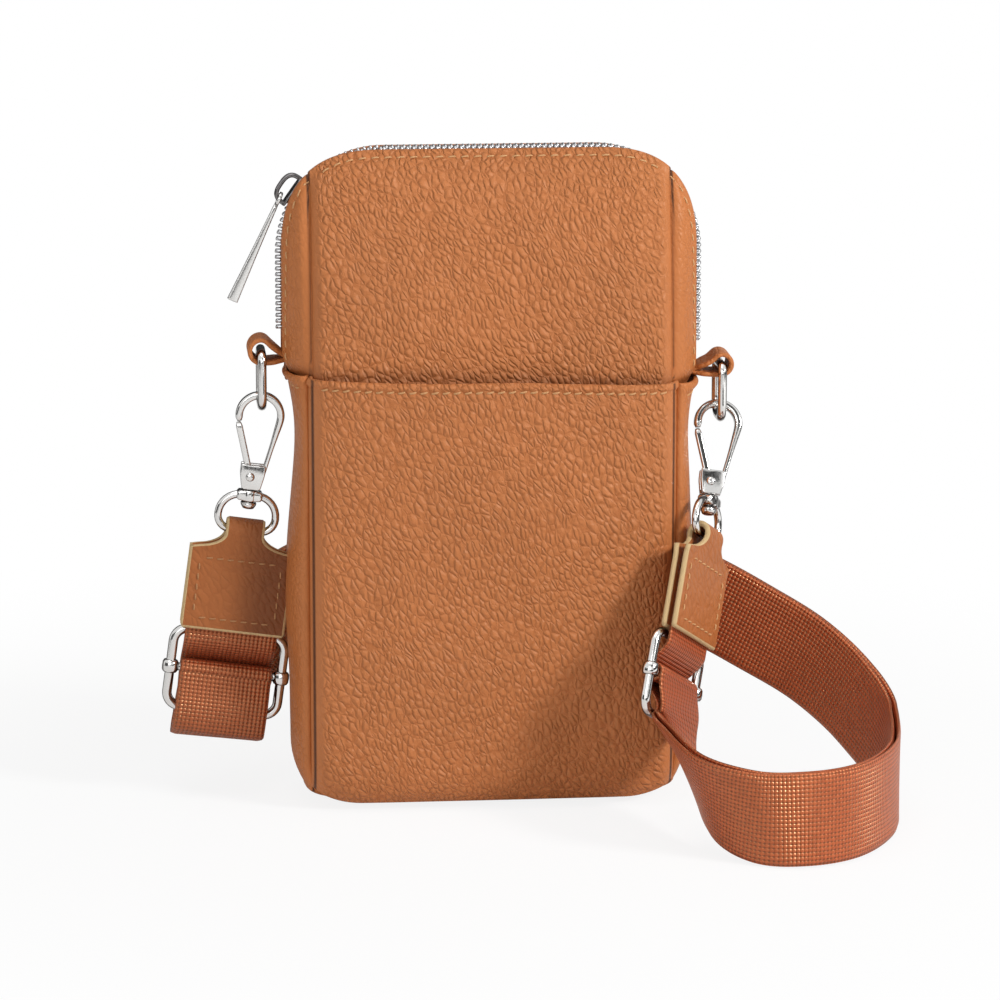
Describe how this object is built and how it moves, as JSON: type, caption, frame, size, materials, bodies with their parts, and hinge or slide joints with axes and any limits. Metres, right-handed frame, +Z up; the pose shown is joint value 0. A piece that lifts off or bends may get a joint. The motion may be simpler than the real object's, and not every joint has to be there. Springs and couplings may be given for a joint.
{
  "type": "leather phone pouch with webbing strap",
  "caption": "Upright leather phone pouch with a zip over the top, a front slip pocket, side rings, swivel snap hooks and a webbing shoulder strap with wire buckles",
  "frame": {"origin": "middle of the flat base panel's underside", "axes": "+Z up; +X to the viewer's right across the width; the front pocket faces -Y"},
  "size_m": [0.2084, 0.1147, 0.1885],
  "materials": {
    "grain_leather": "tan full grain leather with a pebbled face, satin",
    "lining_cloth": "plain woven lining, matt",
    "zip_tape": "woven tape, matt",
    "zip_metal": "bright metal zip teeth",
    "plated_metal": "polished nickel plate",
    "webbing": "rust coloured ribbed nylon webbing with a silky sheen"
  },
  "bodies": {
    "pouch": {"front_panel": "grain_leather", "back_panel": "grain_leather", "front_pocket": "grain_leather", "base_panel": "grain_leather", "left_gusset": "grain_leather", "right_gusset": "grain_leather", "left_front_strip": "grain_leather", "left_back_strip": "grain_leather", "right_front_strip": "grain_leather", "right_back_strip": "grain_leather", "lining": "lining_cloth", "zip_tape_front": "zip_tape", "zip_tape_back": "zip_tape", "zip_teeth_front": "zip_metal", "zip_teeth_back": "zip_metal", "left_tab": "grain_leather", "right_tab": "grain_leather", "left_strap_end": "grain_leather", "right_strap_end": "grain_leather", "left_buckle_frame": "plated_metal", "right_buckle_frame": "plated_metal", "left_buckle_bar": "plated_metal", "right_buckle_bar": "plated_metal", "strap_band_a": "webbing", "strap_band_b": "webbing"},
    "slider": {"zip_slider": "plated_metal"},
    "puller": {"zip_puller": "plated_metal"},
    "left_ring": {"left_ring": "plated_metal"},
    "right_ring": {"right_ring": "plated_metal"},
    "left_hook": {"left_hook": "plated_metal", "left_gate_rivet": "plated_metal"},
    "right_hook": {"right_hook": "plated_metal", "right_gate_rivet": "plated_metal"},
    "left_gate": {"left_gate": "plated_metal"},
    "right_gate": {"right_gate": "plated_metal"},
    "left_eye": {"left_eye": "plated_metal"},
    "right_eye": {"right_eye": "plated_metal"}
  },
  "joints": [
    {"name": "slider_run", "type": "hinge", "parent": "pouch", "child": "slider", "pos_m": [-0.03, 0, 0.1585], "axis": [0, 1, 0], "range_deg": [-9, 50]},
    {"name": "puller_swing", "type": "hinge", "parent": "slider", "child": "puller", "pos_m": [-0.05912, 0, 0.17413], "axis": [0, -1, 0], "range_deg": [-28, 7]},
    {"name": "left_ring_swing", "type": "hinge", "parent": "pouch", "child": "left_ring", "pos_m": [-0.0646, 0, 0.1306], "axis": [0, 1, 0], "range_deg": [-2.5, 6]},
    {"name": "left_hook_swing", "type": "hinge", "parent": "left_ring", "child": "left_hook", "pos_m": [-0.0646, 0, 0.1154], "axis": [0, 1, 0], "range_deg": [-9, 9]},
    {"name": "left_gate_swing", "type": "hinge", "parent": "left_hook", "child": "left_gate", "pos_m": [-0.0681, 0, 0.09479], "axis": [0, 1, 0], "range_deg": [0, 24], "stiffness_Nm_per_rad": 0.02, "springref_deg": -5.73},
    {"name": "left_eye_swivel", "type": "hinge", "parent": "left_hook", "child": "left_eye", "pos_m": [-0.06829, 0, 0.08916], "axis": [0.1392, 0, 0.9903], "range_deg": [-7, 7]},
    {"name": "right_ring_swing", "type": "hinge", "parent": "pouch", "child": "right_ring", "pos_m": [0.0662, 0, 0.1252], "axis": [0, 1, 0], "range_deg": [-6, 6]},
    {"name": "right_hook_swing", "type": "hinge", "parent": "right_ring", "child": "right_hook", "pos_m": [0.0662, 0, 0.11], "axis": [0, 1, 0], "range_deg": [-9, 9]},
    {"name": "right_gate_swing", "type": "hinge", "parent": "right_hook", "child": "right_gate", "pos_m": [0.06245, -0.00848, 0.09219], "axis": [-0.0734, 0.9063, -0.4162], "range_deg": [0, 24], "stiffness_Nm_per_rad": 0.02, "springref_deg": -5.73},
    {"name": "right_eye_swivel", "type": "hinge", "parent": "right_hook", "child": "right_eye", "pos_m": [0.06216, -0.01085, 0.08709], "axis": [0.1574, 0.4226, 0.8925], "range_deg": [-7, 7]}
  ],
  "couplings": [
    {"joint": "left_hook_swing", "follows": "left_ring_swing", "ratio": -1.412},
    {"joint": "right_hook_swing", "follows": "right_ring_swing", "ratio": -1.458}
  ]
}
